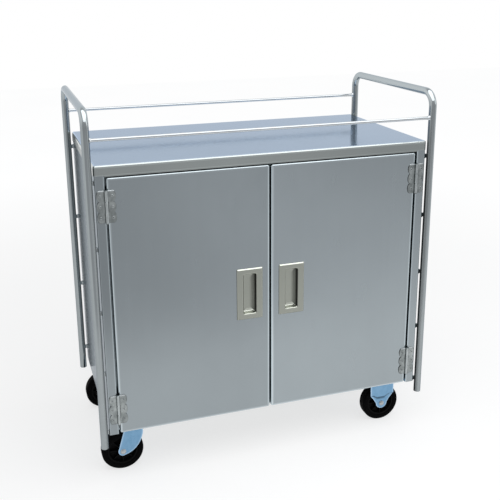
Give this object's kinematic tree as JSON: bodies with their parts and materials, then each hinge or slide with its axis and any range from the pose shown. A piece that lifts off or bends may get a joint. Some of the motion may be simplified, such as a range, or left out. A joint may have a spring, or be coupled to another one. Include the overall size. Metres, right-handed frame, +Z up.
{
  "type": "enclosed meal tray cart",
  "caption": "Enclosed meal tray cart: sheet-steel cabinet with hinged double doors and a railed top, held between inverted-U tube handles on swivel and fixed casters.",
  "frame": {"origin": "on the floor, under the middle of the cart", "axes": "+Z up, +X along the cart towards the fixed casters, -Y out of the doors"},
  "size_m": [1.0348, 0.5448, 1.1018],
  "materials": {
    "stainless_sheet": "fine brushed stainless sheet",
    "polished_top": "bright, nearly mirror-like stainless sheet",
    "polished_tube": "polished stainless tube",
    "satin_pull": "satin pressed stainless, slightly warm",
    "hinge_steel": "dull polished stainless",
    "zinc": "bright blue-white zinc plate",
    "steel": "plain bright steel",
    "rubber": "matt black rubber",
    "black_plastic": "black moulded nylon"
  },
  "bodies": {
    "cabinet": {"tabletop": "polished_top", "back_panel": "stainless_sheet", "floor_panel": "stainless_sheet", "door_header": "stainless_sheet", "shelf": "stainless_sheet", "left_side_panel": "stainless_sheet", "left_caster_channel": "steel", "left_shelf_bearer": "stainless_sheet", "left_door_catch": "black_plastic", "left_end_frame": "polished_tube", "right_side_panel": "stainless_sheet", "right_caster_channel": "steel", "right_shelf_bearer": "stainless_sheet", "right_door_catch": "black_plastic", "right_end_frame": "polished_tube", "front_guard_rail": "polished_tube", "rear_guard_rail": "polished_tube", "left_upper_hinge_frame_leaf": "hinge_steel", "left_upper_hinge_pin": "steel", "left_lower_hinge_frame_leaf": "hinge_steel", "left_lower_hinge_pin": "steel", "right_upper_hinge_frame_leaf": "hinge_steel", "right_upper_hinge_pin": "steel", "right_lower_hinge_frame_leaf": "hinge_steel", "right_lower_hinge_pin": "steel", "front_left_caster_plate": "zinc", "front_left_caster_race": "zinc", "front_left_caster_kingpin": "steel", "front_right_caster_bracket": "zinc", "front_right_caster_axle": "steel", "rear_left_caster_plate": "zinc", "rear_left_caster_race": "zinc", "rear_left_caster_kingpin": "steel", "rear_right_caster_bracket": "zinc", "rear_right_caster_axle": "steel"},
    "left_door": {"left_door_skin": "stainless_sheet", "left_door_liner": "stainless_sheet", "left_door_strike": "steel", "left_door_pull": "satin_pull", "left_upper_hinge_door_leaf": "hinge_steel", "left_lower_hinge_door_leaf": "hinge_steel"},
    "right_door": {"right_door_skin": "stainless_sheet", "right_door_liner": "stainless_sheet", "right_door_strike": "steel", "right_door_pull": "satin_pull", "right_upper_hinge_door_leaf": "hinge_steel", "right_lower_hinge_door_leaf": "hinge_steel"},
    "front_left_swivel": {"front_left_caster_fork": "zinc", "front_left_caster_axle": "steel"},
    "front_left_wheel": {"front_left_caster_wheel_core": "black_plastic", "front_left_caster_tyre": "rubber"},
    "front_right_wheel": {"front_right_caster_wheel_core": "black_plastic", "front_right_caster_tyre": "rubber"},
    "rear_left_swivel": {"rear_left_caster_fork": "zinc", "rear_left_caster_axle": "steel"},
    "rear_left_wheel": {"rear_left_caster_wheel_core": "black_plastic", "rear_left_caster_tyre": "rubber"},
    "rear_right_wheel": {"rear_right_caster_wheel_core": "black_plastic", "rear_right_caster_tyre": "rubber"}
  },
  "joints": [
    {"name": "left_door_hinge", "type": "hinge", "parent": "cabinet", "child": "left_door", "pos_m": [-0.4617, -0.2645, 0.535], "axis": [0, 0, -1], "range_deg": [0, 175]},
    {"name": "right_door_hinge", "type": "hinge", "parent": "cabinet", "child": "right_door", "pos_m": [0.4617, -0.2645, 0.535], "axis": [0, 0, 1], "range_deg": [0, 175]},
    {"name": "front_left_swivel_turn", "type": "hinge", "parent": "cabinet", "child": "front_left_swivel", "pos_m": [-0.407, -0.187, 0.14], "axis": [0, 0, 1], "continuous": true},
    {"name": "front_left_wheel_spin", "type": "hinge", "parent": "front_left_swivel", "child": "front_left_wheel", "pos_m": [-0.448, -0.187, 0.0625], "axis": [0, 1, 0], "continuous": true},
    {"name": "front_right_wheel_spin", "type": "hinge", "parent": "cabinet", "child": "front_right_wheel", "pos_m": [0.407, -0.187, 0.0625], "axis": [0, 1, 0], "continuous": true},
    {"name": "rear_left_swivel_turn", "type": "hinge", "parent": "cabinet", "child": "rear_left_swivel", "pos_m": [-0.407, 0.187, 0.14], "axis": [0, 0, 1], "continuous": true},
    {"name": "rear_left_wheel_spin", "type": "hinge", "parent": "rear_left_swivel", "child": "rear_left_wheel", "pos_m": [-0.448, 0.187, 0.0625], "axis": [0, 1, 0], "continuous": true},
    {"name": "rear_right_wheel_spin", "type": "hinge", "parent": "cabinet", "child": "rear_right_wheel", "pos_m": [0.407, 0.187, 0.0625], "axis": [0, 1, 0], "continuous": true}
  ]
}
